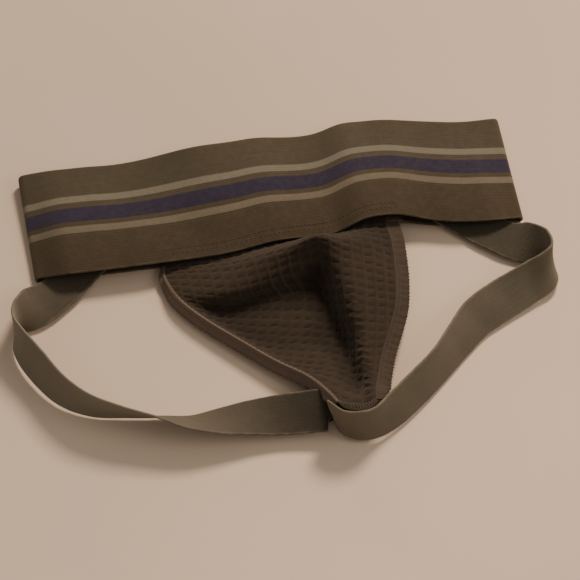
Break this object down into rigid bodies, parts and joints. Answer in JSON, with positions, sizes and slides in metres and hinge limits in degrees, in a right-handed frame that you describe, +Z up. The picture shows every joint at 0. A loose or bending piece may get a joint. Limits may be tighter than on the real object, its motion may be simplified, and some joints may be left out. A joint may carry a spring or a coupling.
{
  "type": "athletic supporter",
  "caption": "Soft athletic supporter with a wide striped elastic waistband, an eyelet-knit pouch with elastic bindings and two elastic leg straps, lying flat on its back.",
  "frame": {"origin": "outer face of the waistband's back layer, on which the supporter lies, half way along and across the flattened band", "axes": "+X along the flattened waistband, +Y from the pouch towards the waistband, +Z up out of the surface it lies on"},
  "size_m": [0.332, 0.2244, 0.0285],
  "materials": {
    "band_elastic": "ribbed woven elastic, matte, olive brown with pale and blue-violet woven stripes",
    "pouch_knit": "eyelet knit, matte, dark brown",
    "binding_elastic": "ribbed binding elastic, matte",
    "strap_elastic": "ribbed woven elastic, matte, olive brown",
    "sewing_thread": "twisted sewing thread, matte"
  },
  "bodies": {
    "waistband": {"waistband": "band_elastic", "waistband_join_stitching": "sewing_thread", "pouch_top_hem": "pouch_knit", "pouch_seam_stitching": "sewing_thread", "leg_strap_left_band_end": "strap_elastic", "leg_strap_right_band_end": "strap_elastic", "hip_bartack_left": "sewing_thread", "hip_bartack_right": "sewing_thread"},
    "pouch": {"pouch_panel": "pouch_knit", "binding_left": "binding_elastic", "binding_right": "binding_elastic", "binding_stitching_left": "sewing_thread", "binding_stitching_right": "sewing_thread", "overlock_left": "sewing_thread", "overlock_right": "sewing_thread", "pouch_base_bartack": "sewing_thread", "leg_strap_left_pouch_end": "strap_elastic", "leg_strap_right_pouch_end": "strap_elastic"},
    "leg_strap_left": {"leg_strap_left": "strap_elastic"},
    "leg_strap_right": {"leg_strap_right": "strap_elastic"}
  },
  "joints": [
    {"name": "pouch_swing", "type": "hinge", "parent": "waistband", "child": "pouch", "pos_m": [0.001, -0.0345, 0.0075], "axis": [-0.997, -0.0665, -0.0399], "range_deg": [0, 80]},
    {"name": "left_strap_swing", "type": "hinge", "parent": "pouch", "child": "leg_strap_left", "pos_m": [-0.09533, -0.10464, 0.00696], "axis": [-0.7103, 0.7036, -0.0216], "range_deg": [0, 40]},
    {"name": "right_strap_swing", "type": "hinge", "parent": "pouch", "child": "leg_strap_right", "pos_m": [0.10232, -0.10072, 0.00832], "axis": [-0.5992, -0.7976, 0.0691], "range_deg": [0, 60]}
  ]
}
